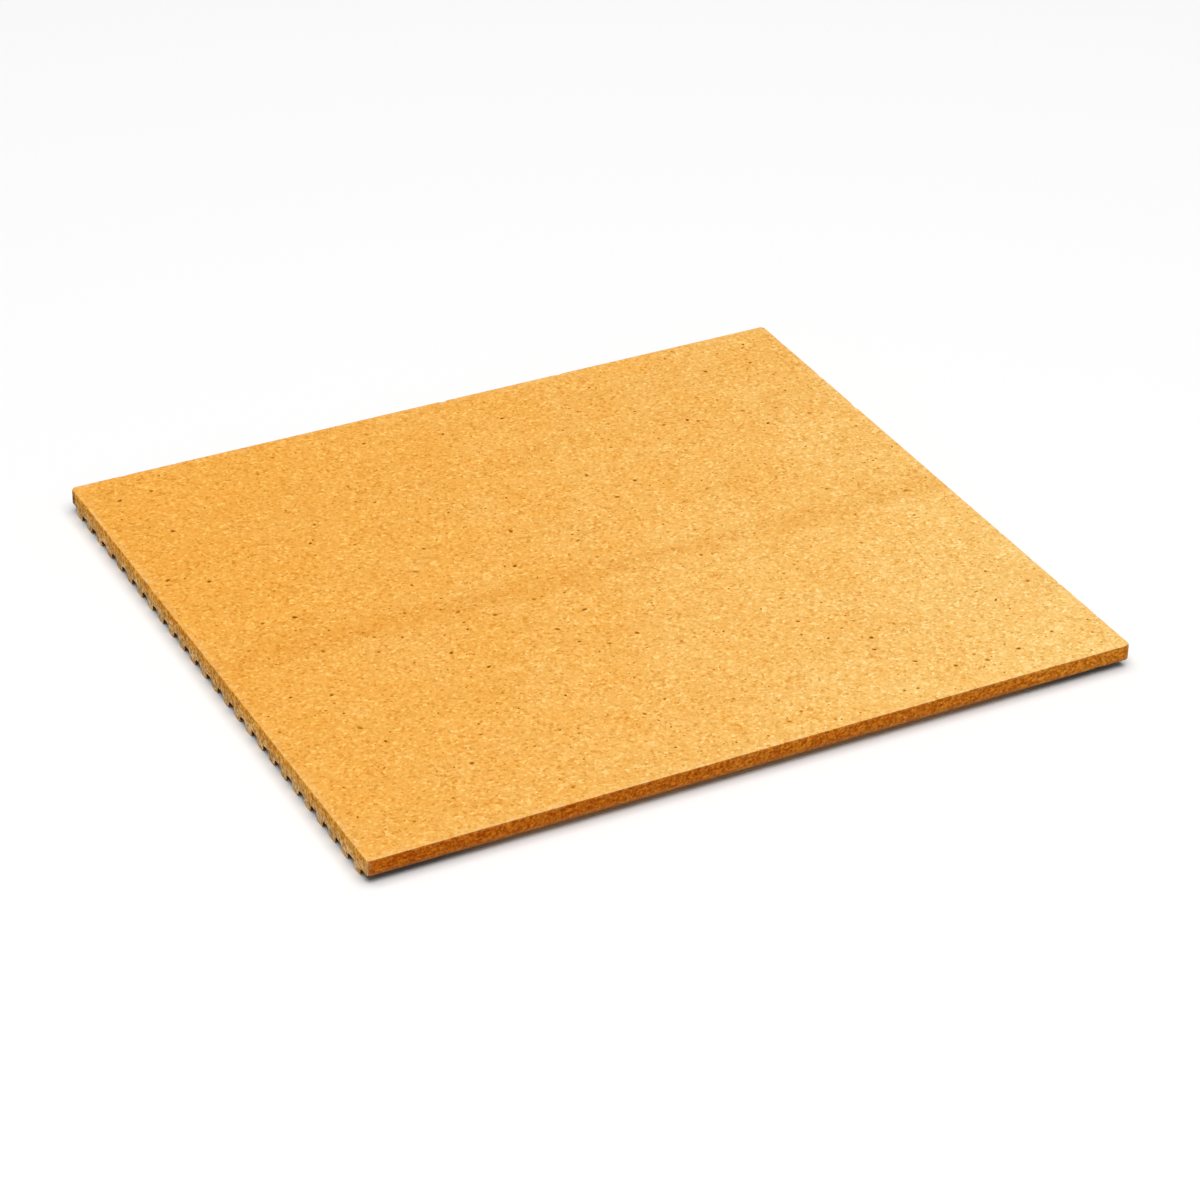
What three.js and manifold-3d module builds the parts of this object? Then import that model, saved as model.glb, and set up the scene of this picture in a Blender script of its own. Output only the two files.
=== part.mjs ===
// A rectangular baking stone: one slab of fired clay with a flat baking face on top and long ribs underneath.
// Millimetres, +Z up. The ribs run along X, and Y goes from the front edge to the back one.
// The origin is the middle of the footprint, at the level of the rib feet.

import * as THREE from 'three';
import { mergeVertices } from 'three/addons/utils/BufferGeometryUtils.js';
import Module from 'manifold-3d';

// The slab
const STONE_LENGTH = 406;
const STONE_DEPTH = 356;
const PLATE_THICKNESS = 8.7; // from the baking face down to the ceiling of the grooves

// The ribs under it
const RIB_HEIGHT = 4;
const RIB_WIDTH = 7.3;
const GROOVE_WIDTH = 6.05;
const LEAST_LEDGE = 7; // plain underside that stays free of ribs along the front and back edges

// Eased edges
const FACE_CORNER_RADIUS = 1.4; // corner of the baking face seen from above, inside its arris
const ARRIS_RADIUS = 0.8; // long edges of the slab
const RIB_FOOT_RADIUS = 2;
const RIB_ROOT_RADIUS = 1.5;

// How curves and cuts are made
const ARC_SEGMENTS = 4;
const CUT_OVERRUN = 5; // how far a cut runs past the slab, so that it leaves no skin
const WELD_DISTANCE = 1e-4; // corners closer than this are one corner

const QUARTER = Math.PI / 2;

// Sizes that follow from the ones above
const stoneHeight = PLATE_THICKNESS + RIB_HEIGHT;
const ribPitch = RIB_WIDTH + GROOVE_WIDTH;
const ribField = STONE_DEPTH - 2 * LEAST_LEDGE;
const ribCount = Math.floor((ribField - RIB_WIDTH) / ribPitch) + 1;
const firstRibMiddle = -((ribCount - 1) * ribPitch) / 2;
const footRadius = Math.min(RIB_FOOT_RADIUS, RIB_HEIGHT / 2, RIB_WIDTH / 2);
const rootRadius = Math.min(RIB_ROOT_RADIUS, RIB_HEIGHT / 2, GROOVE_WIDTH / 2);

const wasm = await Module();
wasm.setup();

// The closed solid of a geometry, with the corners that its faces share joined into one.
function solidOf(geometry) {
  geometry.deleteAttribute('normal');
  geometry.deleteAttribute('uv');
  const welded = mergeVertices(geometry, WELD_DISTANCE);
  return new wasm.Manifold(
    new wasm.Mesh({
      numProp: 3,
      vertProperties: new Float32Array(welded.attributes.position.array),
      triVerts: new Uint32Array(welded.index.array),
    }),
  );
}

function geometryOf(solid) {
  const { vertProperties, triVerts } = solid.getMesh();
  const geometry = new THREE.BufferGeometry();
  geometry.setAttribute('position', new THREE.BufferAttribute(vertProperties, 3));
  geometry.setIndex(new THREE.BufferAttribute(triVerts, 1));
  geometry.computeVertexNormals();
  return geometry;
}

// A rectangle with rounded corners, its middle at the origin.
function roundedRectangle(length, depth, radius) {
  const x = length / 2 - radius;
  const y = depth / 2 - radius;
  const outline = new THREE.Shape();
  outline.moveTo(x + radius, -y);
  outline.absarc(x, y, radius, 0, QUARTER, false);
  outline.absarc(-x, y, radius, QUARTER, 2 * QUARTER, false);
  outline.absarc(-x, -y, radius, 2 * QUARTER, 3 * QUARTER, false);
  outline.absarc(x, -y, radius, 3 * QUARTER, 4 * QUARTER, false);
  return outline;
}

// The slab before its underside is shaped, with all its long edges eased.
function blankSlab() {
  const face = roundedRectangle(
    STONE_LENGTH - 2 * ARRIS_RADIUS,
    STONE_DEPTH - 2 * ARRIS_RADIUS,
    FACE_CORNER_RADIUS,
  );
  const slab = new THREE.ExtrudeGeometry(face, {
    depth: stoneHeight - 2 * ARRIS_RADIUS,
    bevelThickness: ARRIS_RADIUS,
    bevelSize: ARRIS_RADIUS,
    bevelSegments: ARC_SEGMENTS,
    curveSegments: ARC_SEGMENTS,
  });
  slab.translate(0, 0, ARRIS_RADIUS);
  return solidOf(slab);
}

// Goes up the wall of a rib that stands behind a cut, from its foot to the ceiling of the groove.
function climbRib(outline, wall) {
  outline.lineTo(wall + footRadius, 0);
  outline.absarc(wall + footRadius, footRadius, footRadius, -QUARTER, -2 * QUARTER, true);
  outline.absarc(wall - rootRadius, RIB_HEIGHT - rootRadius, rootRadius, 0, QUARTER, false);
}

// Goes down the wall of a rib that stands in front of a cut, from the ceiling to its foot.
function descendRib(outline, wall) {
  outline.absarc(wall + rootRadius, RIB_HEIGHT - rootRadius, rootRadius, QUARTER, 2 * QUARTER, false);
  outline.absarc(wall - footRadius, footRadius, footRadius, 0, -QUARTER, true);
}

// Section of the groove between two ribs, from the wall in front of it to the wall behind it.
function grooveSection(frontWall, backWall) {
  const outline = new THREE.Shape();
  outline.moveTo(frontWall - footRadius, -CUT_OVERRUN);
  outline.lineTo(backWall + footRadius, -CUT_OVERRUN);
  climbRib(outline, backWall);
  descendRib(outline, frontWall);
  return outline;
}

// Section of the ledge between the front edge and the first rib, with the edge's own arris.
function ledgeSection(edge, backWall) {
  const outline = new THREE.Shape();
  outline.moveTo(edge - CUT_OVERRUN, -CUT_OVERRUN);
  outline.lineTo(backWall + footRadius, -CUT_OVERRUN);
  climbRib(outline, backWall);
  outline.absarc(edge + ARRIS_RADIUS, RIB_HEIGHT + ARRIS_RADIUS, ARRIS_RADIUS, -QUARTER, -2 * QUARTER, true);
  outline.lineTo(edge - CUT_OVERRUN, RIB_HEIGHT + ARRIS_RADIUS);
  return outline;
}

// A cut with the given Y and Z section, right through the slab along X.
function cutAlongRibs(section) {
  const length = STONE_LENGTH + 2 * CUT_OVERRUN;
  const cut = new THREE.ExtrudeGeometry(section, {
    depth: length,
    bevelEnabled: false,
    curveSegments: ARC_SEGMENTS,
  });
  cut.translate(0, 0, -length / 2);
  const alongY = new THREE.Vector3(0, 1, 0);
  const alongZ = new THREE.Vector3(0, 0, 1);
  const alongX = new THREE.Vector3(1, 0, 0);
  cut.applyMatrix4(new THREE.Matrix4().makeBasis(alongY, alongZ, alongX));
  return cut;
}

// The slab with a ledge cut along its front and back edges and a groove between each rib and the next.
function ribbedSlab() {
  const ledge = ledgeSection(-STONE_DEPTH / 2, firstRibMiddle - RIB_WIDTH / 2);
  const frontLedge = cutAlongRibs(ledge);
  const backLedge = frontLedge.clone().rotateZ(Math.PI);
  let slab = blankSlab();
  slab = slab.subtract(solidOf(frontLedge));
  slab = slab.subtract(solidOf(backLedge));
  for (let rib = 0; rib < ribCount - 1; rib += 1) {
    const frontWall = firstRibMiddle + rib * ribPitch + RIB_WIDTH / 2;
    const groove = grooveSection(frontWall, frontWall + GROOVE_WIDTH);
    slab = slab.subtract(solidOf(cutAlongRibs(groove)));
  }
  return slab;
}

const firedClay = new THREE.MeshStandardMaterial({ color: 0xf3b458, roughness: 0.93, metalness: 0 });

const bakingStone = new THREE.Mesh(geometryOf(ribbedSlab()), firedClay);
bakingStone.name = 'baking_stone';

const pizzaStone = new THREE.Group();
pizzaStone.name = 'pizza_stone';
pizzaStone.add(bakingStone);

export default pizzaStone;
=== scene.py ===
"""A rectangular baking stone of unglazed fired clay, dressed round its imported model.

The stone's sizes are in millimetres, and become metres where Blender takes them.
The studio and the camera's place are in metres.
X runs along the ribs, Y goes from the front edge to the back one, and Z goes up from the rib feet.
A named pair of numbers is a range, from its first end to its other end.
"""

import math
import random
from itertools import product
from typing import NamedTuple

import bpy
import numpy as np
from mathutils import Matrix, Vector, noise
from mathutils.geometry import delaunay_2d_cdt


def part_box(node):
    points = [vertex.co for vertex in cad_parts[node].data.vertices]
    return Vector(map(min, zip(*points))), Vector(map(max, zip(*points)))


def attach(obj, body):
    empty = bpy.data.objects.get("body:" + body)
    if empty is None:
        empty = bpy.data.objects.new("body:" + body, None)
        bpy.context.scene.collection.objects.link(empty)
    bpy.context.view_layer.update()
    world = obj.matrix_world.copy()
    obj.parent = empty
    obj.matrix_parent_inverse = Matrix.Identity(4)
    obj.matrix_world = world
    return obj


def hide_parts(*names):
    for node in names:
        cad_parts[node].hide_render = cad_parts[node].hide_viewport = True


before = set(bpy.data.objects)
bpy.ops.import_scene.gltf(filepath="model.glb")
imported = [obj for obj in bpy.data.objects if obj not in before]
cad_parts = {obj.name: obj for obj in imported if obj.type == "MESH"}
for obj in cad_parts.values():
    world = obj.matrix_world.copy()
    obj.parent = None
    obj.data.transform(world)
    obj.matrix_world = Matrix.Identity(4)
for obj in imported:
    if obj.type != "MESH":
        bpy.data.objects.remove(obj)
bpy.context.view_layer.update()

MM = 0.001
QUARTER = math.pi / 2
stone_low, stone_high = (Vector(corner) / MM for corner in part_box("baking_stone"))

# The slab and the ribs under it
STONE_LENGTH = stone_high.x - stone_low.x
STONE_DEPTH = stone_high.y - stone_low.y
STONE_HEIGHT = stone_high.z - stone_low.z
RIB_HEIGHT = 4
RIB_WIDTH = 7.3
GROOVE_WIDTH = 6.05
LEAST_LEDGE = 7
RIB_PITCH = RIB_WIDTH + GROOVE_WIDTH
RIB_COUNT = int((STONE_DEPTH - 2 * LEAST_LEDGE - RIB_WIDTH) / RIB_PITCH) + 1
FIRST_RIB_MIDDLE = -(RIB_COUNT - 1) * RIB_PITCH / 2

# Eased edges
ARRIS_RADIUS = 0.8
CUT_EDGE_RADIUS = 0.7
CORNER_RADIUS = 2.2
RIB_FOOT_RADIUS = 2
RIB_ROOT_RADIUS = 1.5

# How finely each surface is meshed
FACE_STEP = 1.2
SKIN_STEP = 0.9
STATION_COUNT = 312
RIB_STATION_SKIP = 6
LEDGE_STRIP = 1.8
ARRIS_STEPS = 4
RIB_ARC_STEPS = 3
FACE_GRID = 3
FACE_GRID_SHIFT = 0.28 * FACE_GRID
FACE_GRID_SEED = 17
CUT_GRID = 0.8
CUT_GRID_SHIFT = 0.25 * CUT_GRID
CUT_GRID_SEED = 23
CUT_GRID_MARGIN = CUT_EDGE_RADIUS + 0.4

# How a flat outline is filled: with triangles inside it only, taking corners this close as one
INSIDE_OUTLINE = 1
SAME_PLACE = 1e-6

# Pits in the baking face
PIT_SEED = 41
PIT_COUNT = 600
PIT_MARGIN = 4
PIT_RADIUS = (0.36, 0.95)
LARGE_PIT_RARITY = 3.4
PIT_DEPTH = (0.15, 0.6)
PIT_DEPTH_SHARE = (0.7, 1)
PIT_DARKNESS = (0.5, 0.84)
PIT_STRETCH = (1, 1.5)
PIT_LEAN = 0.7
PIT_OVALNESS = 0.16
PIT_LOBES = 0.1

# Room between two pits, and between a pit and the grid: so many times their size, and a gap
PIT_SPACING = 1.9
PIT_SPACING_GAP = 0.4
PIT_CLEARING = 1.75
PIT_CLEARING_GAP = 0.25

# A pit's rings from lip to bottom: shares of its radius, depth and darkness, and number of corners
PIT_RINGS = (
    (1.6, 0.0, 0.0, 10),
    (1.25, 0.06, 0.35, 10),
    (0.95, 0.35, 0.75, 9),
    (0.58, 0.88, 1.0, 6),
    (0.0, 1.0, 1.0, 1),
)

# Nicks in the edges
NICK_SEED = 59
LONG_EDGE_NICKS = 8
CUT_EDGE_NICKS = 9
NICK_END_MARGIN = 6
NICK_HALF_LENGTH = (0.8, 2.5)
NICK_DEPTH = (0.15, 0.55)
NICK_LEAST_WIDTH = 0.7
NICK_WIDENING = 1.3
NICK_LOSS = (0.6, 1.4)
NICK_GRAIN = 0.8
NICK_RUB = 1.5
CORNER_NICK_INSET = 0.6
CORNER_NICK_HALF_LENGTH = 1.5
CORNER_NICK_DEPTH = (0.3, 0.7)

# Rubbed clay and painted highlight on the arrises and at the upright corners, and a paler rim on the
# baking face
ARRIS_RUB_AND_HIGHLIGHT = 0.55
ARRIS_RUB_AND_HIGHLIGHT_REACH = 3
RIM_PALENESS = 0.5
RIM_PALENESS_REACH = 6
CORNER_RUB_AND_HIGHLIGHT = 0.8
CORNER_RUB_AND_HIGHLIGHT_REACH = 3.2

# How far in from the top, and from the front or back, the clay still counts as that surface
FACE_LAYER = 1
SKIN_LAYER = ARRIS_RADIUS + 1

# Surfaces of the stone, in the order of their material slots
SURFACES = ("face", "skin", "cut", "underside")

# The surface that each zone of the section belongs to
ZONE_SURFACES = {
    "face": "face",
    "arris": "face",
    "skin": "skin",
    "ledge": "underside",
    "underside": "underside",
}

# Where each surface lies on the flat map that its colours are baked to: left, bottom, width, height
FACE_PATCH = (0.004, 0.004, 0.606, 0.992)
UNDERSIDE_PATCH = (0.618, 0.004, 0.254, 0.992)
STRIP_LEFT = 0.88
STRIP_WIDTH = 0.024
STRIP_PITCH = 0.03


def between(limits, share):
    """The value at a share of the way through a range."""
    return limits[0] + (limits[1] - limits[0]) * share


class Section:
    """The slab's outline in Y and Z.

    Each point has its way out of the clay, and each stretch up to the next point has its zone.
    """

    def __init__(self, y, z, outward):
        self.points = [(y, z)]
        self.outward = [outward]
        self.zones = []

    def line(self, y, z, step, zone):
        """Straight on to a point, in steps of about the given length."""
        start_y, start_z = self.points[-1]
        length = math.hypot(y - start_y, z - start_z)
        outward = ((z - start_z) / length, -(y - start_y) / length)
        count = max(1, round(length / step))
        for index in range(1, count + 1):
            share = index / count
            self.points.append((start_y + share * (y - start_y), start_z + share * (z - start_z)))
            self.outward.append(outward)
            self.zones.append(zone)

    def arc(self, y, z, radius, start, sweep, steps, zone):
        """Round a middle from a start angle; a sweep below 0 makes a hollow."""
        side = 1 if sweep > 0 else -1
        for index in range(1, steps + 1):
            angle = start + sweep * index / steps
            across = math.cos(angle)
            up = math.sin(angle)
            self.points.append((y + radius * across, z + radius * up))
            self.outward.append((side * across, side * up))
            self.zones.append(zone)

    def rib(self, middle):
        """From the groove in front of a rib, round its foot, to the groove behind it."""
        root_z = RIB_HEIGHT - RIB_ROOT_RADIUS
        near = middle - RIB_WIDTH / 2
        far = middle + RIB_WIDTH / 2
        foot = RIB_FOOT_RADIUS
        root = RIB_ROOT_RADIUS
        self.line(near - root, RIB_HEIGHT, GROOVE_WIDTH, "underside")
        self.arc(near - root, root_z, root, QUARTER, -QUARTER, RIB_ARC_STEPS, "underside")
        self.line(near, foot, RIB_HEIGHT, "underside")
        self.arc(near + foot, foot, foot, 2 * QUARTER, QUARTER, RIB_ARC_STEPS, "underside")
        self.line(far - foot, 0, RIB_WIDTH, "underside")
        self.arc(far - foot, foot, foot, 3 * QUARTER, QUARTER, RIB_ARC_STEPS, "underside")
        self.line(far, root_z, RIB_HEIGHT, "underside")
        self.arc(far + root, root_z, root, 2 * QUARTER, -QUARTER, RIB_ARC_STEPS, "underside")


def slab_section():
    """Goes forwards along the baking face, down the front, back along the ribs and up the back."""
    edge = STONE_DEPTH / 2
    inner = edge - ARRIS_RADIUS
    top = STONE_HEIGHT - ARRIS_RADIUS
    bottom = RIB_HEIGHT + ARRIS_RADIUS
    section = Section(inner, STONE_HEIGHT, (0, 1))
    section.line(-inner, STONE_HEIGHT, FACE_STEP, "face")
    section.arc(-inner, top, ARRIS_RADIUS, QUARTER, QUARTER / 2, ARRIS_STEPS // 2, "arris")
    section.arc(-inner, top, ARRIS_RADIUS, 1.5 * QUARTER, QUARTER / 2, ARRIS_STEPS // 2, "skin")
    section.line(-edge, bottom, SKIN_STEP, "skin")
    section.arc(-inner, bottom, ARRIS_RADIUS, 2 * QUARTER, QUARTER, ARRIS_STEPS, "skin")
    section.line(-inner + LEDGE_STRIP, RIB_HEIGHT, SKIN_STEP, "ledge")
    for rib in range(RIB_COUNT):
        section.rib(FIRST_RIB_MIDDLE + rib * RIB_PITCH)
    section.line(inner - LEDGE_STRIP, RIB_HEIGHT, GROOVE_WIDTH, "underside")
    section.line(inner, RIB_HEIGHT, SKIN_STEP, "ledge")
    section.arc(inner, bottom, ARRIS_RADIUS, 3 * QUARTER, QUARTER, ARRIS_STEPS, "skin")
    section.line(edge, top, SKIN_STEP, "skin")
    section.arc(inner, top, ARRIS_RADIUS, 0, QUARTER / 2, ARRIS_STEPS // 2, "skin")
    section.arc(inner, top, ARRIS_RADIUS, QUARTER / 2, QUARTER / 2, ARRIS_STEPS // 2, "arris")
    # The last point is the first one again
    section.points.pop()
    section.outward.pop()
    return section


class Slab:
    """Corners and faces of the stone's mesh while it is being put together.

    Each corner has its way out of the clay, how dark a pit makes it,
    and how far round the section it is.
    """

    def __init__(self):
        self.corners = []
        self.outward = []
        self.pit = []
        self.around = []
        self.faces = []
        self.surfaces = []

    def corner(self, place, outward, pit=0.0, around=0.0):
        self.corners.append(place)
        self.outward.append(outward)
        self.pit.append(pit)
        self.around.append(around)
        return len(self.corners) - 1

    def face(self, ring, surface):
        self.faces.append(ring)
        self.surfaces.append(SURFACES.index(surface))

    def span(self, near, far, surface):
        """Joins two rows of corners, which may differ in number."""
        if len(near) == len(far) == 2:
            self.face([near[0], far[0], far[1], near[1]], surface)
            return
        at_near = at_far = 0
        while at_near + at_far < len(near) + len(far) - 2:
            if (at_near + 0.5) / (len(near) - 1) < (at_far + 0.5) / (len(far) - 1):
                self.face([near[at_near], far[at_far], near[at_near + 1]], surface)
                at_near += 1
            else:
                self.face([near[at_near], far[at_far], far[at_far + 1]], surface)
                at_far += 1

    def fill(self, outline, inner, flat, surface, flipped=False):
        """Spans a closed ring of corners with triangles through the inner corners, seen flat."""
        ids = outline + inner
        ring = [(index, (index + 1) % len(outline)) for index in range(len(outline))]
        places = [Vector(flat(self.corners[corner])) for corner in ids]
        filling = delaunay_2d_cdt(places, ring, [], INSIDE_OUTLINE, SAME_PLACE)
        _, _, triangles, sources, _, _ = filling
        for triangle in triangles:
            corners = [ids[sources[index][0]] for index in triangle]
            if flipped:
                corners.reverse()
            self.face(corners, surface)


class Sweep:
    """The section run along X with eased ends, leaving out the baking face and the two cut ends.

    Each station has its place along X, from -1 to 1, and how far the eased end has turned there.
    """

    def __init__(self, slab, section):
        self.section = section
        turns = [step * QUARTER / ARRIS_STEPS for step in range(ARRIS_STEPS + 1)]
        self.stations = [(-1, turn) for turn in turns[:0:-1]]
        self.stations += [(2 * index / STATION_COUNT - 1, 0) for index in range(STATION_COUNT + 1)]
        self.stations += [(1, turn) for turn in turns[1:]]
        self.last = len(self.stations) - 1
        self.first_full = ARRIS_STEPS
        self.last_full = self.last - ARRIS_STEPS
        every = range(self.last + 1)
        ends = [index for index in every if not self.first_full < index < self.last_full]
        sparse = range(self.first_full, self.last_full, RIB_STATION_SKIP)
        self.used = {zone: every for zone in ZONE_SURFACES}
        self.used["face"] = ends
        self.used["underside"] = [index for index in every if index in ends or index in sparse]
        self.grid = {}
        self.place_corners(slab)
        self.span_faces(slab)

    def place_corners(self, slab):
        points = self.section.points
        around = 0.0
        for index, ((y, z), (out_y, out_z)) in enumerate(zip(points, self.section.outward)):
            if index:
                around += math.dist(points[index - 1], points[index])
            # A point between two zones has the stations of the finer one
            zones = (self.section.zones[index - 1], self.section.zones[index])
            for station in max((self.used[zone] for zone in zones), key=len):
                along, turn = self.stations[station]
                lean = math.cos(turn)
                out_x = along * math.sin(turn)
                pull = CUT_EDGE_RADIUS * (1 - lean)
                x = along * (STONE_LENGTH / 2 - CUT_EDGE_RADIUS) + out_x * CUT_EDGE_RADIUS
                place = (x, y - pull * out_y, z - pull * out_z)
                outward = (out_x, out_y * lean, out_z * lean)
                self.grid[index, station] = slab.corner(place, outward, around=around)

    def span_faces(self, slab):
        count = len(self.section.points)
        for index, zone in enumerate(self.section.zones):
            for before, after in zip(self.used[zone], self.used[zone][1:]):
                # The baking face is filled later, with its pits
                if zone == "face" and (before, after) == (self.first_full, self.last_full):
                    continue
                near = self.run(index, before, after)
                far = self.run((index + 1) % count, before, after)
                surface = ZONE_SURFACES[zone]
                if after <= ARRIS_STEPS // 2 or before >= self.last - ARRIS_STEPS // 2:
                    surface = "cut"
                slab.span(near, far, surface)

    def run(self, index, before, after):
        """Corners at one point of the section, from one station to another."""
        keys = [(index, station) for station in range(before, after + 1)]
        return [self.grid[key] for key in keys if key in self.grid]


class Pit(NamedTuple):
    """A small pit that a burnt-out grain has left in the baking face."""

    x: float
    y: float
    radius: float
    depth: float
    darkness: float
    stretch: float
    lean: float
    phase: float

    def clear_of(self, other):
        room = PIT_SPACING * (self.radius + other.radius) + PIT_SPACING_GAP
        return math.hypot(self.x - other.x, self.y - other.y) > room


def random_pit(rng):
    """A pit anywhere on the baking face, more often a small one than a large one."""
    reach_x = STONE_LENGTH / 2 - PIT_MARGIN
    reach_y = STONE_DEPTH / 2 - PIT_MARGIN
    x = rng.uniform(-reach_x, reach_x)
    y = rng.uniform(-reach_y, reach_y)
    size = rng.random() ** LARGE_PIT_RARITY
    return Pit(
        x,
        y,
        radius=between(PIT_RADIUS, size),
        depth=between(PIT_DEPTH, size * rng.uniform(*PIT_DEPTH_SHARE)),
        darkness=rng.uniform(*PIT_DARKNESS),
        stretch=rng.uniform(*PIT_STRETCH),
        lean=rng.gauss(0, PIT_LEAN),
        phase=rng.uniform(0, 2 * math.pi),
    )


def baking_face_pits():
    rng = random.Random(PIT_SEED)
    pits = []
    while len(pits) < PIT_COUNT:
        pit = random_pit(rng)
        if all(pit.clear_of(other) for other in pits):
            pits.append(pit)
    return pits


def pit_rings(slab, pit):
    """Corners of one pit, ring by ring, each ring a little ragged."""
    corners = []
    for share, sink, shade, count in PIT_RINGS:
        # The inner rings are turned by half a step
        first_step = 0.5 if share < 1 else 0
        for step in range(count):
            angle = 2 * math.pi * (step + first_step) / count
            oval = PIT_OVALNESS * math.cos(2 * angle + pit.phase)
            lobes = PIT_LOBES * math.cos(3 * angle - 2 * pit.phase)
            reach = share * pit.radius * (1 + oval + lobes)
            long_way = reach * pit.stretch * math.cos(angle)
            short_way = reach * math.sin(angle)
            place = (
                pit.x + long_way * math.cos(pit.lean) - short_way * math.sin(pit.lean),
                pit.y + long_way * math.sin(pit.lean) + short_way * math.cos(pit.lean),
                STONE_HEIGHT - sink * pit.depth,
            )
            corners.append(slab.corner(place, (0, 0, 1), pit=shade * pit.darkness))
    return corners


def baking_face_grid():
    """A loose grid of places on the baking face, each a little off its row and column."""
    rng = random.Random(FACE_GRID_SEED)
    half_x = STONE_LENGTH / 2 - CUT_EDGE_RADIUS
    half_y = STONE_DEPTH / 2 - ARRIS_RADIUS
    columns = round(2 * half_x / FACE_GRID)
    rows = round(2 * half_y / FACE_GRID)
    shift = FACE_GRID_SHIFT
    return np.array([
        (
            -half_x + 2 * half_x * column / columns + rng.uniform(-shift, shift),
            -half_y + 2 * half_y * row / rows + rng.uniform(-shift, shift),
        )
        for column in range(1, columns)
        for row in range(1, rows)
    ])


def baking_face(slab, sweep):
    """The flat upper face: a loose grid of corners with each pit let into it."""
    front = sweep.section.zones.index("arris")
    first = sweep.first_full
    last = sweep.last_full
    # Round the rim, from the front left corner along the front edge first
    ring = sweep.run(front, first, last)
    ring += [sweep.grid[index, last] for index in range(front - 1, 0, -1)]
    ring += sweep.run(0, first, last)[::-1]
    ring += [sweep.grid[index, first] for index in range(1, front)]

    loose = baking_face_grid()
    clear = np.ones(len(loose), bool)
    inner = []
    for pit in baking_face_pits():
        clearing = PIT_CLEARING * pit.radius * pit.stretch + PIT_CLEARING_GAP
        clear &= np.hypot(loose[:, 0] - pit.x, loose[:, 1] - pit.y) > clearing
        inner += pit_rings(slab, pit)
    inner += [slab.corner((x, y, STONE_HEIGHT), (0, 0, 1)) for x, y in loose[clear]]
    slab.fill(ring, inner, lambda place: place[:2], "face")


def underside_level(y):
    """How far the underside is above the rib feet, at a place across the ribs."""
    nearest = min(max(round((y - FIRST_RIB_MIDDLE) / RIB_PITCH), 0), RIB_COUNT - 1)
    off = abs(y - FIRST_RIB_MIDDLE - nearest * RIB_PITCH) - RIB_WIDTH / 2
    if off < -RIB_FOOT_RADIUS:
        return 0
    if off < 0:
        return RIB_FOOT_RADIUS - math.sqrt(RIB_FOOT_RADIUS ** 2 - (RIB_FOOT_RADIUS + off) ** 2)
    if off < RIB_ROOT_RADIUS:
        rise = math.sqrt(RIB_ROOT_RADIUS ** 2 - (RIB_ROOT_RADIUS - off) ** 2)
        return RIB_HEIGHT - RIB_ROOT_RADIUS + rise
    return RIB_HEIGHT


def cut_end(slab, sweep, station, side):
    """An end where the wet clay was cut across its ribs, filled with small facets."""
    rng = random.Random(CUT_GRID_SEED + side)
    margin = CUT_GRID_MARGIN
    shift = CUT_GRID_SHIFT
    inner = []
    for column in range(round(STONE_DEPTH / CUT_GRID)):
        for row in range(round(STONE_HEIGHT / CUT_GRID)):
            y = (column + 0.5) * CUT_GRID - STONE_DEPTH / 2 + rng.uniform(-shift, shift)
            z = (row + 0.5) * CUT_GRID + rng.uniform(-shift, shift)
            level = max(underside_level(y + step) for step in (-margin, 0, margin))
            if level + margin < z < STONE_HEIGHT - margin and abs(y) < STONE_DEPTH / 2 - margin:
                inner.append(slab.corner((side * STONE_LENGTH / 2, y, z), (side, 0, 0)))
    ring = [sweep.grid[index, station] for index in range(len(sweep.section.points))]
    slab.fill(ring, inner, lambda place: place[1:], "cut", flipped=side < 0)


def rough(place, size):
    """Smooth noise from 0 to 1 that changes over about the given size."""
    return 0.5 + 0.5 * noise.noise(Vector(place) / size)


class Unevenness(NamedTuple):
    """Waves in a fired surface, from none down to their depth.

    A pace below 1 draws them out one way or the other along the surface.
    The layer keeps the waves of different surfaces from being alike.
    """

    depth: float
    size: float
    layer: float
    pace: tuple = (1, 1)

    def at(self, first, second, third=0):
        """How deep they are at a place, given both ways along the surface and then across it."""
        place = (first * self.pace[0], second * self.pace[1], third + self.layer)
        return self.depth * rough(place, self.size)


FACE_SWELL = Unevenness(depth=0.12, size=55, layer=3)
UNDERSIDE_SWELL = Unevenness(depth=0.09, size=18, layer=9)
SKIN_RIPPLE = Unevenness(depth=0.16, size=1.6, layer=20, pace=(0.1, 1))
SKIN_SWELL = Unevenness(depth=0.1, size=9, layer=31)
CUT_TEAR = Unevenness(depth=0.22, size=2.1, layer=40)
CUT_DRAG = Unevenness(depth=0.12, size=1.1, layer=50, pace=(1, 0.15))


def round_corners(places):
    """Draws the four upright corners in to their radius, seen from above."""
    half = np.array((STONE_LENGTH, STONE_DEPTH)) / 2 - CORNER_RADIUS
    for side in product((-1, 1), (-1, 1)):
        reach = places[:, :2] * side - half
        inside = (reach > 0).all(axis=1)
        shrink = reach[inside].max(axis=1) / np.linalg.norm(reach[inside], axis=1)
        places[inside, :2] = (half + reach[inside] * shrink[:, None]) * side


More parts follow.
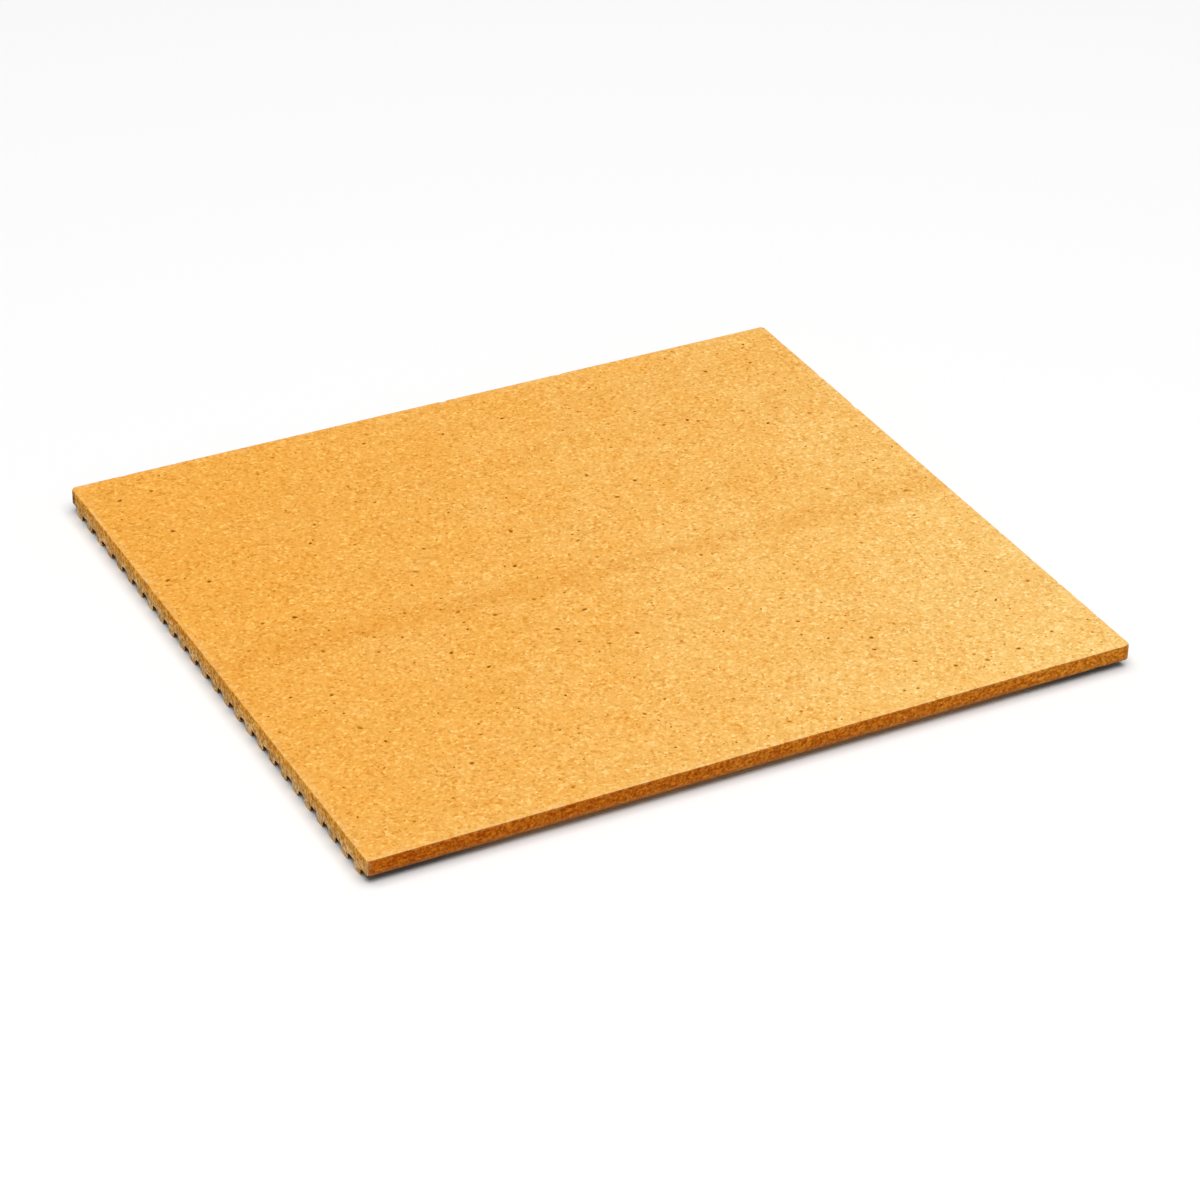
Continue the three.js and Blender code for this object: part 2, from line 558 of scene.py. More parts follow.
def wear_and_highlight_at_edges(places, outward):
    """Rubbing, painted highlight and the face's paler rim on each corner, from 0 on the flats to 1 at
    the palest.
    """
    to_end = STONE_LENGTH / 2 - np.abs(places[:, 0])
    to_side = STONE_DEPTH / 2 - np.abs(places[:, 1])
    to_edge = np.minimum(to_end, to_side)
    turned = (1 - np.abs(outward).max(axis=1)) / (1 - math.sqrt(0.5))
    # Painted highlight and rubbed clay on arrises and upright corners; a paler rim on the face
    on_arris = np.where(to_edge < ARRIS_RUB_AND_HIGHLIGHT_REACH, ARRIS_RUB_AND_HIGHLIGHT * turned, 0)
    on_face = places[:, 2] > STONE_HEIGHT - FACE_LAYER
    on_rim = np.where(on_face, RIM_PALENESS * np.exp(-(to_edge / RIM_PALENESS_REACH) ** 2), 0)
    to_corner = np.hypot(to_end, to_side)
    on_corner = CORNER_RUB_AND_HIGHLIGHT * np.exp(-(to_corner / CORNER_RUB_AND_HIGHLIGHT_REACH) ** 2)
    return np.clip(np.maximum(np.maximum(on_arris, on_rim), on_corner), 0, 1)


class Nick(NamedTuple):
    """A small flake lost from an edge, with the ways along that edge and into the clay."""

    middle: Vector
    along: Vector
    inward: Vector
    half_length: float
    depth: float


def nicks():
    """Flakes lost from the long arrises, from the upper arrises of the ends and from the corners."""
    rng = random.Random(NICK_SEED)
    half = Vector((STONE_LENGTH / 2, STONE_DEPTH / 2, 0))
    ways = (Vector((1, 0, 0)), Vector((0, 1, 0)))
    face_arris = (STONE_HEIGHT, -1)
    ledge_arris = (RIB_HEIGHT, 1)
    edges = (
        (0, (face_arris, ledge_arris), LONG_EDGE_NICKS),
        (1, (face_arris,), CUT_EDGE_NICKS),
    )
    found = []
    for axis, arrises, count in edges:
        across = 1 - axis
        for side, (level, rise), _ in product((-1, 1), arrises, range(count)):
            middle = Vector((0, 0, level))
            middle[axis] = rng.uniform(-1, 1) * (half[axis] - NICK_END_MARGIN)
            middle[across] = side * half[across]
            inward = Vector((0, 0, rise)) - side * ways[across]
            size = rng.random() ** 2
            length = between(NICK_HALF_LENGTH, size)
            depth = between(NICK_DEPTH, size)
            found.append(Nick(middle, ways[axis], inward.normalized(), length, depth))
    for side_x, side_y in product((-1, 1), (-1, 1)):
        x = side_x * (half.x - CORNER_NICK_INSET)
        y = side_y * (half.y - CORNER_NICK_INSET)
        inward = Vector((-side_x, -side_y, -1)).normalized()
        found.append(Nick(
            middle=Vector((x, y, STONE_HEIGHT)),
            along=Vector((0, 0, 1)),
            inward=inward,
            half_length=CORNER_NICK_HALF_LENGTH,
            depth=rng.uniform(*CORNER_NICK_DEPTH),
        ))
    return found


def chip_edges(places, wear_and_highlight):
    """Presses the mesh in at each nick, and marks the clay there as rubbed."""
    for nick in nicks():
        along = np.array(nick.along)
        offset = places - np.array(nick.middle)
        run = offset @ along
        across = np.linalg.norm(offset - run[:, None] * along, axis=1)
        width = NICK_LEAST_WIDTH + NICK_WIDENING * nick.depth
        bite = 1 - (run / nick.half_length) ** 2 - (across / width) ** 2
        for index in np.nonzero(bite > 0)[0]:
            loss = between(NICK_LOSS, rough(places[index], NICK_GRAIN))
            places[index] += np.array(nick.inward) * nick.depth * bite[index] * loss
            wear_and_highlight[index] = max(wear_and_highlight[index], min(1, NICK_RUB * bite[index]))


def weather(slab):
    """Gives each surface the unevenness of pressed, cut and fired clay, always into the box."""
    places = np.array(slab.corners, float)
    outward = np.array(slab.outward, float)
    wear_and_highlight = wear_and_highlight_at_edges(places, outward)
    round_corners(places)
    for index, (x, y, z) in enumerate(slab.corners):
        out_x, out_y, out_z = outward[index]
        if out_z > 0:
            places[index, 2] -= out_z * FACE_SWELL.at(x, y)
        elif out_z < 0:
            places[index, 2] -= out_z * UNDERSIDE_SWELL.at(x, y)
        if STONE_DEPTH / 2 - abs(y) < SKIN_LAYER:
            places[index, 1] -= out_y * (SKIN_RIPPLE.at(x, z, y) + SKIN_SWELL.at(x, z, y))
        if out_x:
            places[index, 0] -= out_x * (CUT_TEAR.at(y, z, x) + CUT_DRAG.at(y, z, x))
    chip_edges(places, wear_and_highlight)
    return places, wear_and_highlight


def lay_flat(mesh, slab):
    """The flat map for baking: the face, the unrolled underside and a strip for each of the sides."""
    places = np.array(slab.corners)
    around = np.array(slab.around)
    along = places[:, 0] / STONE_LENGTH + 0.5
    back = places[:, 1] / STONE_DEPTH + 0.5
    rise = places[:, 2] / STONE_HEIGHT

    def patch(box, u, v):
        return np.stack((box[0] + box[2] * u, box[1] + box[3] * v), axis=1)

    def strip(number):
        return (STRIP_LEFT + number * STRIP_PITCH, FACE_PATCH[1], STRIP_WIDTH, FACE_PATCH[3])

    rings = [(SURFACES[surface], ring) for surface, ring in zip(slab.surfaces, slab.faces)]
    under = around[[corner for surface, ring in rings if surface == "underside" for corner in ring]]
    unrolled = np.clip((around - under.min()) / (under.max() - under.min()), 0, 1)
    skins = [patch(strip(number), rise, along) for number in (0, 1)]
    cuts = [patch(strip(number), rise, back) for number in (2, 3)]
    maps = {
        "face": patch(FACE_PATCH, back, along),
        "skin": np.where(places[:, 1:2] < 0, skins[0], skins[1]),
        "cut": np.where(places[:, 0:1] < 0, cuts[0], cuts[1]),
        "underside": patch(UNDERSIDE_PATCH, along, unrolled),
    }
    spots = [maps[surface][corner] for surface, ring in rings for corner in ring]
    layer = mesh.uv_layers.new(name="OFBake")
    layer.uv.foreach_set("vector", np.array(spots, np.float32).ravel())


def stone_mesh():
    slab = Slab()
    sweep = Sweep(slab, slab_section())
    baking_face(slab, sweep)
    cut_end(slab, sweep, 0, -1)
    cut_end(slab, sweep, sweep.last, 1)
    places, wear_and_highlight = weather(slab)

    mesh = bpy.data.meshes.new("stone_slab")
    mesh.from_pydata((places * MM).tolist(), [], slab.faces)
    mesh.polygons.foreach_set("material_index", slab.surfaces)
    mesh.shade_smooth()
    lay_flat(mesh, slab)
    for name, values in (("pit", slab.pit), ("wear_and_highlight", wear_and_highlight)):
        attribute = mesh.attributes.new(name, "FLOAT", "POINT")
        attribute.data.foreach_set("value", np.array(values, np.float32))
    return mesh


class Recipe:
    """A node tree with short calls to place nodes and join them."""

    # Sockets of a Mix node that are for colours
    MIX_FIRST = 6
    MIX_SECOND = 7
    MIX_RESULT = 2

    def __init__(self, tree):
        self.tree = tree

    def add(self, kind, **settings):
        node = self.tree.nodes.new(kind)
        for name, value in settings.items():
            setattr(node, name, value)
        return node

    def feed(self, socket, source):
        """Joins another socket to this one, or sets this one to a plain value."""
        if isinstance(source, bpy.types.NodeSocket):
            self.tree.links.new(source, socket)
        else:
            socket.default_value = source

    def math(self, operation, first, second=0.0, third=0.0, clamp=False):
        node = self.add("ShaderNodeMath", operation=operation, use_clamp=clamp)
        for socket, source in zip(node.inputs, (first, second, third)):
            self.feed(socket, source)
        return node.outputs[0]

    def between(self, limits, share):
        """The value at a share of the way through a range."""
        return self.math("MULTIPLY_ADD", share, limits[1] - limits[0], limits[0])

    def vector(self, operation, first, second, output="Vector"):
        node = self.add("ShaderNodeVectorMath", operation=operation)
        self.feed(node.inputs[0], first)
        self.feed(node.inputs[1], second)
        return node.outputs[output]

    def scale(self, vector, amount):
        node = self.add("ShaderNodeVectorMath", operation="SCALE")
        self.feed(node.inputs[0], vector)
        self.feed(node.inputs["Scale"], amount)
        return node.outputs["Vector"]

    def ease(self, value, start, end):
        """Goes smoothly from 0 at the start value to 1 at the end value."""
        node = self.add("ShaderNodeMapRange", interpolation_type="SMOOTHSTEP")
        for socket, source in zip(node.inputs, (value, start, end, 0.0, 1.0)):
            self.feed(socket, source)
        return node.outputs[0]

    def mix(self, factor, first, second):
        node = self.add("ShaderNodeMix", data_type="RGBA")
        self.feed(node.inputs[0], factor)
        self.feed(node.inputs[self.MIX_FIRST], first)
        self.feed(node.inputs[self.MIX_SECOND], second)
        return node.outputs[self.MIX_RESULT]

    def split(self, source, kind):
        node = self.add("ShaderNodeSeparate" + kind)
        self.feed(node.inputs[0], source)
        return node.outputs

    def noise(self, position, size, detail=2.0, roughness=0.5):
        node = self.add("ShaderNodeTexNoise")
        self.feed(node.inputs["Vector"], position)
        node.inputs["Scale"].default_value = 1 / size
        node.inputs["Detail"].default_value = detail
        node.inputs["Roughness"].default_value = roughness
        return node.outputs

    def cells(self, position):
        node = self.add("ShaderNodeTexVoronoi", feature="F1")
        self.feed(node.inputs["Vector"], position)
        node.inputs["Scale"].default_value = 1.0
        return node.outputs

    def use(self, group, **inputs):
        node = self.add("ShaderNodeGroup", node_tree=group)
        for name, source in inputs.items():
            self.feed(node.inputs[name], source)
        return node.outputs


def new_group(name, inputs, outputs):
    """An empty node group with its sockets; gives its recipe, its inputs and its outputs."""
    group = bpy.data.node_groups.new(name, "ShaderNodeTree")
    for label, kind in inputs.items():
        group.interface.new_socket(label, in_out="INPUT", socket_type="NodeSocket" + kind)
    for label, kind in outputs.items():
        group.interface.new_socket(label, in_out="OUTPUT", socket_type="NodeSocket" + kind)
    recipe = Recipe(group)
    return recipe, recipe.add("NodeGroupInput").outputs, recipe.add("NodeGroupOutput").inputs


# Sand in the clay, and what its palest and darkest grains do to the colour of the body
FINE_SAND_SIZE = 1.35
FINE_SAND_SHADE = (-1.3, 1.3)
COARSE_SAND_SIZE = 1.45
COARSE_SAND_SHADE = 1.3
COARSE_SAND_HEIGHT = 0.2
COARSE_SAND_RARITY = 3.0
PALE_GRAIN = (1.15, 1.42, 2.1, 1)
DARK_GRAIN = (0.79, 0.66, 0.4, 1)
NO_TINT = (1, 1, 1, 1)


def sand_grain_group():
    """Sand in the clay: a tint that makes single grains paler or darker, and a height for bump."""
    recipe, given, put = new_group(
        "sand_grain",
        {"Position": "Vector", "Share": "Float"},
        {"Tint": "Color", "Height": "Float"},
    )
    fine = recipe.noise(given["Position"], FINE_SAND_SIZE, detail=1.0, roughness=0.6)["Fac"]
    cells = recipe.cells(recipe.scale(given["Position"], 1 / COARSE_SAND_SIZE))
    coarse = recipe.between((-1.0, 1.0), recipe.split(cells["Color"], "Color")["Red"])
    coarse = recipe.math("POWER", coarse, COARSE_SAND_RARITY)
    shade = recipe.between(FINE_SAND_SHADE, fine)
    shade = recipe.math("MULTIPLY_ADD", coarse, COARSE_SAND_SHADE, shade)
    shade = recipe.math("MULTIPLY", shade, given["Share"])
    tint = recipe.mix(shade, NO_TINT, PALE_GRAIN)
    tint = recipe.mix(recipe.math("MULTIPLY", shade, -1.0), tint, DARK_GRAIN)
    recipe.feed(put["Tint"], tint)
    recipe.feed(put["Height"], recipe.math("MULTIPLY_ADD", coarse, COARSE_SAND_HEIGHT, fine))
    return recipe.tree


# Painted sheen: how much paler the body gets from the middle to the right end and to the back; and
# its clouds
PAINTED_SHEEN_RIGHT = 0.32
PAINTED_SHEEN_BACK = -0.18
KILN_CLOUDS = (0.225, 0.775)
KILN_CLOUD_SIZE = 26
BODY_REDNESS = 1.8


def body_tone_and_sheen_group():
    """The body colour, paler at the front right than at the back left as painted sheen, and in clouds
    of tone.
    """
    recipe, given, put = new_group(
        "body_tone_and_sheen",
        {"Position": "Vector", "Flashed": "Color", "Pale": "Color"},
        {"Color": "Color"},
    )
    slope = (PAINTED_SHEEN_RIGHT / (STONE_LENGTH / 2), PAINTED_SHEEN_BACK / (STONE_DEPTH / 2), 0)
    lean = recipe.vector("DOT_PRODUCT", given["Position"], slope, "Value")
    clouds = recipe.noise(given["Position"], KILN_CLOUD_SIZE)["Fac"]
    share = recipe.math("ADD", lean, recipe.between(KILN_CLOUDS, clouds), clamp=True)
    share = recipe.math("POWER", share, BODY_REDNESS)
    recipe.feed(put["Color"], recipe.mix(share, given["Flashed"], given["Pale"]))
    return recipe.tree


# Specks: shares of the largest size and of full strength, the solid core, and the ragged outline
SPECK_SIZE = (0.35, 1.0)
SPECK_STRENGTH = (0.3, 1.0)
SPECK_CORE = 0.45
SPECK_WOBBLE = 0.9
LARGE_SPECK_RARITY = 2.0


def scattered_specks_group():
    """Specks scattered through the body, as a mask; each has its own size and strength."""
    recipe, given, put = new_group(
        "scattered_specks",
        {"Position": "Vector", "Spacing": "Float", "Share": "Float", "Largest": "Float"},
        {"Mask": "Float"},
    )
    wobble = recipe.noise(given["Position"], SPECK_WOBBLE)["Color"]
    shift = recipe.vector("SUBTRACT", wobble, (0.5, 0.5, 0.5))
    place = recipe.vector("ADD", given["Position"], shift)
    cells = recipe.cells(recipe.vector("DIVIDE", place, given["Spacing"]))
    presence, size, strength = recipe.split(cells["Color"], "Color")
    distance = recipe.math("MULTIPLY", cells["Distance"], given["Spacing"])
    size = recipe.between(SPECK_SIZE, recipe.math("POWER", size, LARGE_SPECK_RARITY))
    radius = recipe.math("MULTIPLY", size, given["Largest"])
    inside = recipe.ease(distance, radius, recipe.math("MULTIPLY", radius, SPECK_CORE))
    present = recipe.math("LESS_THAN", presence, given["Share"])
    mask = recipe.math("MULTIPLY", inside, present)
    mask = recipe.math("MULTIPLY", mask, recipe.between(SPECK_STRENGTH, strength))
    recipe.feed(put["Mask"], mask)
    return recipe.tree


# How far dragged lines go from dark to pale
DRAG_SHADE = (-1.5, 1.5)


def drag_lines_group():
    """Lines that a die or a wire drags through wet clay, along which the position is stretched."""
    recipe, given, put = new_group("drag_lines", {"Stretched": "Vector"}, {"Shade": "Float"})
    lines = recipe.noise(given["Stretched"], 1.0, detail=4.0, roughness=0.6)["Fac"]
    recipe.feed(put["Shade"], recipe.between(DRAG_SHADE, lines))
    return recipe.tree


# Rubbed clay and painted highlight: the size and strength of their patches, and where they start to
# show and show fully
RUB_AND_HIGHLIGHT_PATCH_SIZE = 3.5
RUB_AND_HIGHLIGHT_PATCHES = (-0.6, 0.6)
RUB_AND_HIGHLIGHT_SHOWS = (0.25, 0.9)


def edge_rub_and_highlight_group():
    """Where handling has rubbed the clay pale, and painted highlight on the arrises, broken up into
    patches.
    """
    recipe, given, put = new_group(
        "edge_rub_and_highlight",
        {"Position": "Vector", "Worn": "Float"},
        {"Mask": "Float"},
    )
    patches = recipe.noise(given["Position"], RUB_AND_HIGHLIGHT_PATCH_SIZE, detail=3.0, roughness=0.65)["Fac"]
    wear_and_highlight = recipe.math("ADD", given["Worn"], recipe.between(RUB_AND_HIGHLIGHT_PATCHES, patches))
    recipe.feed(put["Mask"], recipe.ease(wear_and_highlight, *RUB_AND_HIGHLIGHT_SHOWS))
    return recipe.tree


sand_grain = sand_grain_group()
body_tone_and_sheen = body_tone_and_sheen_group()
scattered_specks = scattered_specks_group()
drag_lines = drag_lines_group()
edge_rub_and_highlight = edge_rub_and_highlight_group()

# Colours in and on the clay, and of painted shade
PALE_SAND = (0.95, 0.74, 0.4, 1)
IRON = (0.22, 0.08, 0.012, 1)
SKIN_IRON = (0.1, 0.014, 0.0, 1)
RUST = (0.6, 0.21, 0.004, 1)
# Burnt clay in the pits, and painted shade at the back left corner
BURNT_AND_PAINTED_SHADE = (0.12, 0.028, 0.0, 1)
# Painted shade in the grooves, and darker painted shade in their ends
GROOVE_PAINTED_SHADE = (0.30, 0.13, 0.03, 1)
GROOVE_END_PAINTED_SHADE = (0.045, 0.02, 0.008, 1)

# How the clay takes the light; its roughness goes from the hollows to the tops of the grains
CLAY_ROUGHNESS = (1.0, 0.84)
CLAY_SPECULAR = 0.06
BUMP_DISTANCE = 0.25

# Painted shade at the back left corner, and how far from it the shade fades out and is full
SHADED_CORNER_LEVEL = 6
SHADED_CORNER_PLACE = (-STONE_LENGTH / 2, STONE_DEPTH / 2, SHADED_CORNER_LEVEL)
SHADED_CORNER_FADES = (7.0, 2.5)
SHADED_CORNER_PATCH_SIZE = 2.5
SHADED_CORNER_RAGGEDNESS = 8.0

# The level above the rib feet where a groove begins
GROOVE_BEGINS = (0.3, 1.6)

# Painted shade in the ends of the grooves: how far in from the ends it reaches and is full
END_SHADE_REACH = 90
END_SHADE_FULL = 20
END_SHADE_PATCH_SIZE = 22
END_SHADE_RAGGEDNESS = 90.0


class ClayMix:
    """The material of one clay surface, mixed a step at a time from its body colour."""

    def __init__(self, name, deeper, pale):
        self.material = bpy.data.materials.new(name)
        self.material.use_nodes = True
        self.shader = self.material.node_tree.nodes["Principled BSDF"]
        self.recipe = Recipe(self.material.node_tree)
        place = self.recipe.add("ShaderNodeTexCoord").outputs["Object"]
        self.position = self.recipe.scale(place, 1 / MM)
        # The body colour, paler towards the front right as painted sheen
        body = self.recipe.use(body_tone_and_sheen, Position=self.position, Flashed=deeper, Pale=pale)
        self.colour = body["Color"]
        self.height = 0.0

    def attribute(self, name):
        return self.recipe.add("ShaderNodeAttribute", attribute_name=name).outputs["Fac"]

    def tint(self, tint):
        self.colour = self.recipe.vector("MULTIPLY", self.colour, tint)

    def lighten(self, amount, share):
        """Makes the clay paler where the amount is above 0, and darker where it is below."""
        light = self.recipe.math("MULTIPLY_ADD", amount, share, 1.0)
        self.colour = self.recipe.scale(self.colour, light)

    def raise_up(self, amount, share):
        self.height = self.recipe.math("MULTIPLY_ADD", amount, share, self.height)

    def stain(self, mask, share, colour):
        cover = self.recipe.math("MULTIPLY", mask, share)
        self.colour = self.recipe.mix(cover, self.colour, colour)

    def ragged(self, distance, patch_size, raggedness):
        """A distance that patches in the clay make longer here and shorter there."""
        patches = self.recipe.noise(self.position, patch_size, detail=3.0, roughness=0.6)["Fac"]
        stray = self.recipe.between((-raggedness / 2, raggedness / 2), patches)
        return self.recipe.math("ADD", distance, stray)

    def drag(self, size, shade, height):
        """Lines dragged through the wet clay, of about the given size along X, Y and Z."""
        stretched = self.recipe.vector("DIVIDE", self.position, size)
        lines = self.recipe.use(drag_lines, Stretched=stretched)["Shade"]
        self.lighten(lines, shade)
        self.raise_up(lines, height)

    def grain(self, share):
        grain = self.recipe.use(sand_grain, Position=self.position, Share=share)
        self.tint(grain["Tint"])
        self.raise_up(grain["Height"], 1.0)
        roughness = self.recipe.between(CLAY_ROUGHNESS, grain["Height"])
        self.recipe.feed(self.shader.inputs["Roughness"], roughness)

    # Rubbed clay, and painted highlight on the arrises and upright corners
    def rub_and_highlight(self, share, colour):
        rubbed = self.recipe.use(edge_rub_and_highlight, Position=self.position, Worn=self.attribute("wear_and_highlight"))
        self.stain(rubbed["Mask"], share, colour)

    def specks(self, colour, strength, spacing, share, largest, height=-0.4):
        """Specks in a share of the spots at the given spacing, sunk or raised."""
        scatter = {"Spacing": spacing, "Share": share, "Largest": largest}
        mask = self.recipe.use(scattered_specks, Position=self.position, **scatter)["Mask"]
        self.stain(mask, strength, colour)
        self.raise_up(mask, height)

    def band(self, middle, reach, tint):
        """A faint band along the stone, which fades out at its reach from the middle."""
        across = self.recipe.split(self.position, "XYZ")["Y"]
        off = self.recipe.math("ABSOLUTE", self.recipe.math("SUBTRACT", across, middle))
        self.tint(self.recipe.mix(self.recipe.ease(off, reach, 0.0), NO_TINT, tint))

    def tint_towards_feet(self, top, share, colour):
        """A colour on the lower part of a side, which fades out upwards."""
        rise = self.recipe.split(self.position, "XYZ")["Z"]
        self.stain(self.recipe.ease(rise, top, RIB_HEIGHT), share, colour)

    def paint_groove_shade(self, groove_shade, end_shade):
        """Painted shade all along the grooves, and darker painted shade in their ends."""
        along, _, rise = self.recipe.split(self.position, "XYZ")
        in_groove = self.recipe.ease(rise, *GROOVE_BEGINS)
        self.stain(in_groove, groove_shade, GROOVE_PAINTED_SHADE)
        from_middle = self.recipe.math("ABSOLUTE", along)
        from_middle = self.ragged(from_middle, END_SHADE_PATCH_SIZE, END_SHADE_RAGGEDNESS)
        end_shaded = self.recipe.ease(
            from_middle, STONE_LENGTH / 2 - END_SHADE_REACH, STONE_LENGTH / 2 - END_SHADE_FULL
        )
        self.stain(self.recipe.math("MULTIPLY", in_groove, end_shaded), end_shade, GROOVE_END_PAINTED_SHADE)

    def paint_corner_shade(self, share):
        """Painted shade on the corner where the left end meets the back."""
        distance = self.recipe.vector("DISTANCE", self.position, SHADED_CORNER_PLACE, "Value")
        distance = self.ragged(distance, SHADED_CORNER_PATCH_SIZE, SHADED_CORNER_RAGGEDNESS)
        self.stain(self.recipe.ease(distance, *SHADED_CORNER_FADES), share, BURNT_AND_PAINTED_SHADE)

    def fired(self, bump):
        """The finished material, with its pits burnt dark and its heights as bump."""
        pit = self.attribute("pit")
        self.stain(self.recipe.ease(pit, start=0.0, end=0.5), share=0.75, colour=RUST)
        self.stain(self.recipe.ease(pit, start=0.3, end=1.0), share=1.0, colour=BURNT_AND_PAINTED_SHADE)
        self.recipe.feed(self.shader.inputs["Base Color"], self.colour)
        self.shader.inputs["Specular IOR Level"].default_value = CLAY_SPECULAR
        node = self.recipe.add("ShaderNodeBump")
        node.inputs["Strength"].default_value = bump
        node.inputs["Distance"].default_value = BUMP_DISTANCE * MM
        self.recipe.feed(node.inputs["Height"], self.height)
        self.recipe.feed(self.shader.inputs["Normal"], node.outputs["Normal"])
        return self.material


def baking_face_clay():
    clay = ClayMix(
        "baking_face_clay",
        deeper=(0.83, 0.375, 0.058, 1),
        pale=(0.87, 0.54, 0.165, 1),
    )
    clay.drag(size=(300, 14, 14), shade=0.03, height=0.1)
    clay.band(middle=-8, reach=14, tint=(0.96, 0.91, 0.82, 1))
    clay.grain(share=0.7)
    clay.rub_and_highlight(share=0.7, colour=(0.90, 0.57, 0.23, 1))
    clay.specks(PALE_SAND, strength=0.85, spacing=6, share=0.5, largest=0.9, height=0.3)
    clay.specks(IRON, strength=0.5, spacing=2.6, share=0.6, largest=0.62)
    clay.specks(IRON, strength=0.95, spacing=6, share=0.65, largest=1)
    return clay.fired(bump=0.5)


def pressed_side_clay():
    clay = ClayMix(
        "pressed_side_clay",
        deeper=(0.48, 0.096, 0.001, 1),
        pale=(0.635, 0.195, 0.011, 1),
    )
    clay.drag(size=(90, 2.2, 2.2), shade=0.12, height=0.6)
    clay.drag(size=(2.4, 1.4, 1.4), shade=0.75, height=0.5)
    clay.grain(share=2.6)
    # Painted shade: the front and back darken towards the rib feet
    clay.tint_towards_feet(top=7.5, share=0.6, colour=(0.36, 0.15, 0.045, 1))
    clay.rub_and_highlight(share=0.55, colour=(0.54, 0.29, 0.1, 1))
    clay.specks(SKIN_IRON, strength=0.8, spacing=2.6, share=0.8, largest=0.75)
    clay.specks(SKIN_IRON, strength=0.9, spacing=5, share=0.8, largest=1.3)
    # Painted shade at the back left corner
    clay.paint_corner_shade(share=0.9)
    return clay.fired(bump=0.7)


def cut_end_clay():
    clay = ClayMix(
        "cut_end_clay",
        deeper=(0.75, 0.30, 0.025, 1),
        pale=(0.77, 0.37, 0.05, 1),
    )
    clay.tint_towards_feet(top=11, share=0.85, colour=(0.64, 0.39, 0.155, 1))
    clay.drag(size=(3, 1.5, 3), shade=0.5, height=0.5)
    clay.drag(size=(9, 9, 9), shade=0.25, height=0.2)
    clay.grain(share=2.4)
    clay.rub_and_highlight(share=0.5, colour=(0.6, 0.42, 0.2, 1))
    clay.specks(IRON, strength=0.7, spacing=2.6, share=0.7, largest=0.7)
    clay.specks(IRON, strength=0.85, spacing=5, share=0.8, largest=1.2)
    # Painted shade at the back left corner
    clay.paint_corner_shade(share=0.9)
    return clay.fired(bump=0.8)


def ribbed_underside_clay():
    clay = ClayMix(
        "ribbed_underside_clay",
        # Painted shade: body colours darker than the baking face's
        deeper=(0.62, 0.28, 0.05, 1),
        pale=(0.70, 0.40, 0.12, 1),
    )
    # Painted shade in the grooves, darkest towards their ends
    clay.paint_groove_shade(groove_shade=0.6, end_shade=0.93)
    clay.drag(size=(120, 3, 3), shade=0.12, height=0.5)
    clay.grain(share=0.8)
    clay.specks(IRON, strength=0.6, spacing=2.6, share=0.6, largest=0.62)
    clay.specks(IRON, strength=0.75, spacing=5, share=0.7, largest=1)
    return clay.fired(bump=0.6)


def put_in_scene(name, data):
    """A new object in the scene for a mesh, a lamp or a camera."""
    thing = bpy.data.objects.new(name, data)
    bpy.context.scene.collection.objects.link(thing)
    return thing


def stone():
    mesh = stone_mesh()
    for clay in (baking_face_clay(), pressed_side_clay(), cut_end_clay(), ribbed_underside_clay()):
        mesh.materials.append(clay)
    slab = put_in_scene("stone_slab", mesh)
    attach(slab, "root")
    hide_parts("baking_stone")


# The studio
FLOOR_REACH = 9.0
FLOOR_PAPER = (0.9, 0.9, 0.9, 1)
SOFTBOX_PLACE = (-0.1, -0.4, 4.0)
SOFTBOX_SIZE = 4.6
SOFTBOX_POWER = 216
ROOM_COLOUR = (1, 1, 1, 1)
ROOM_LIGHT = 0.18


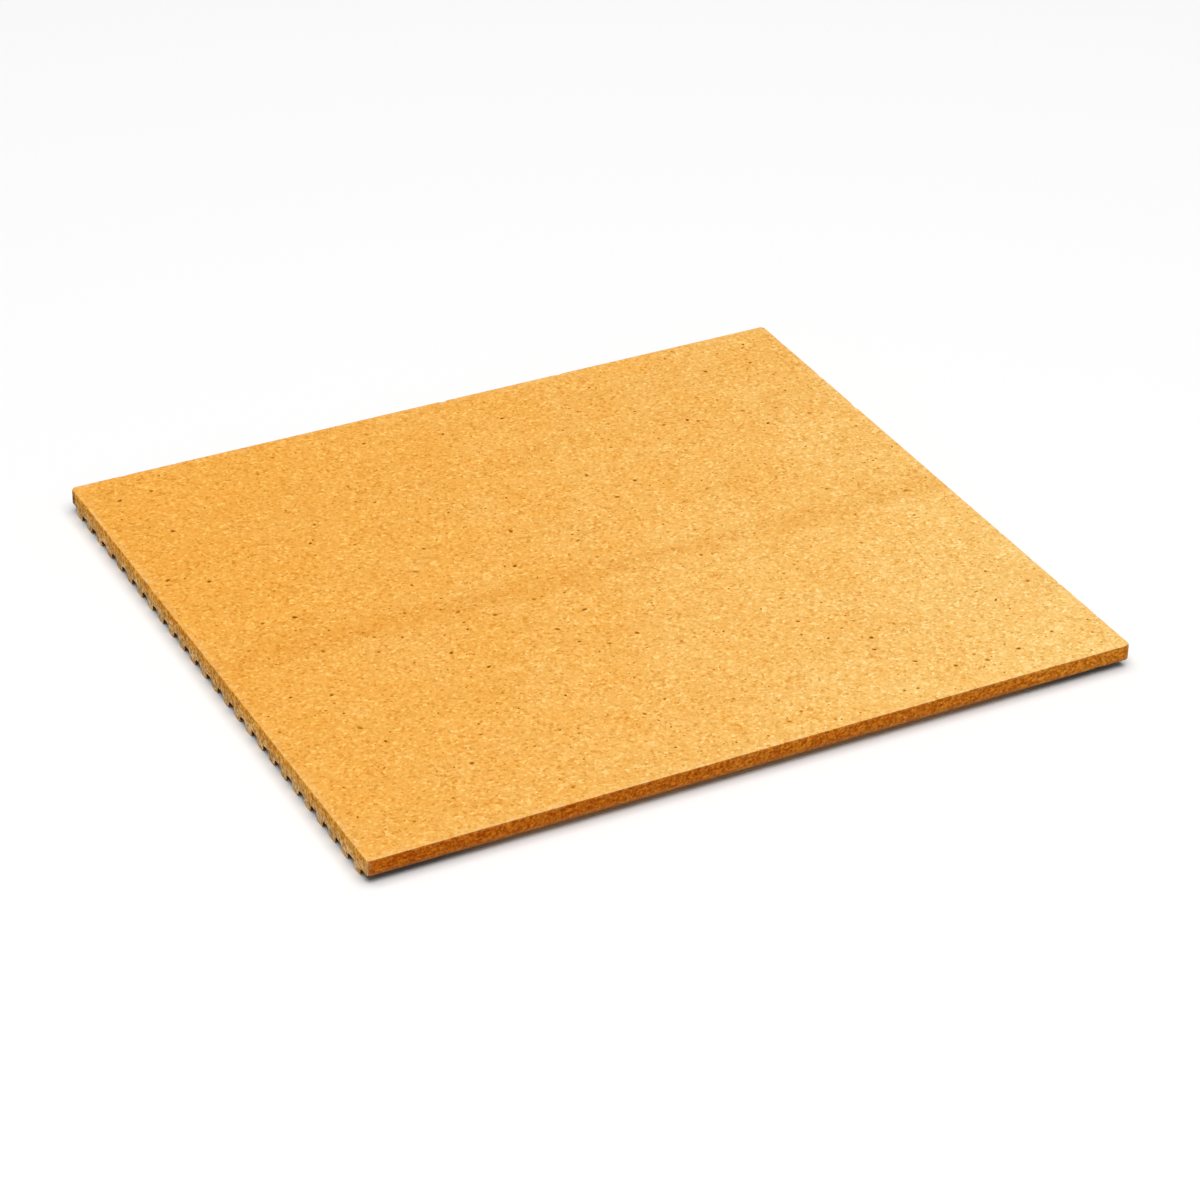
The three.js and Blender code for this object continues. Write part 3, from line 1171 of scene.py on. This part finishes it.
def floor():
    reach = FLOOR_REACH
    corners = [(-reach, -reach, 0), (reach, -reach, 0), (reach, reach, 0), (-reach, reach, 0)]
    mesh = bpy.data.meshes.new("studio_floor")
    mesh.from_pydata(corners, [], [(0, 1, 2, 3)])
    paper = bpy.data.materials.new("floor_paper")
    paper.use_nodes = True
    shader = paper.node_tree.nodes["Principled BSDF"]
    shader.inputs["Base Color"].default_value = FLOOR_PAPER
    shader.inputs["Roughness"].default_value = 1.0
    shader.inputs["Specular IOR Level"].default_value = 0.0
    mesh.materials.append(paper)
    plane = put_in_scene("studio_floor", mesh)


def studio_light():
    lamp = bpy.data.lights.new("overhead_softbox", "AREA")
    lamp.size = SOFTBOX_SIZE
    lamp.energy = SOFTBOX_POWER
    holder = put_in_scene("overhead_softbox", lamp)
    holder.location = SOFTBOX_PLACE
    holder.rotation_euler = Vector(SOFTBOX_PLACE).to_track_quat("Z", "Y").to_euler()
    world = bpy.data.worlds.new("studio")
    world.use_nodes = True
    room = world.node_tree.nodes["Background"]
    room.inputs["Color"].default_value = ROOM_COLOUR
    room.inputs["Strength"].default_value = ROOM_LIGHT
    bpy.context.scene.world = world
    bpy.context.scene.view_settings.view_transform = "Standard"


# The photograph's camera, worked out from the corners of the baking face, its lens in millimetres
CAMERA_PLACE = (-0.77648, -1.42307, 1.02059)
CAMERA_AZIMUTH = math.radians(-28.8622)
CAMERA_ELEVATION = math.radians(32.4015)
CAMERA_ROLL = math.radians(-1.8046)
CAMERA_LENS = 115.668
CAMERA_SENSOR = 36


def camera():
    lens = bpy.data.cameras.new("photo_camera")
    lens.lens = CAMERA_LENS
    lens.sensor_width = CAMERA_SENSOR
    viewer = put_in_scene("photo_camera", lens)
    level = math.cos(CAMERA_ELEVATION)
    back = Vector((
        math.sin(CAMERA_AZIMUTH) * level,
        -math.cos(CAMERA_AZIMUTH) * level,
        math.sin(CAMERA_ELEVATION),
    ))
    turn = back.to_track_quat("Z", "Y").to_matrix() @ Matrix.Rotation(-CAMERA_ROLL, 3, "Z")
    viewer.matrix_world = Matrix.Translation(CAMERA_PLACE) @ turn.to_4x4()
    bpy.context.scene.camera = viewer


stone()
floor()
studio_light()
camera()
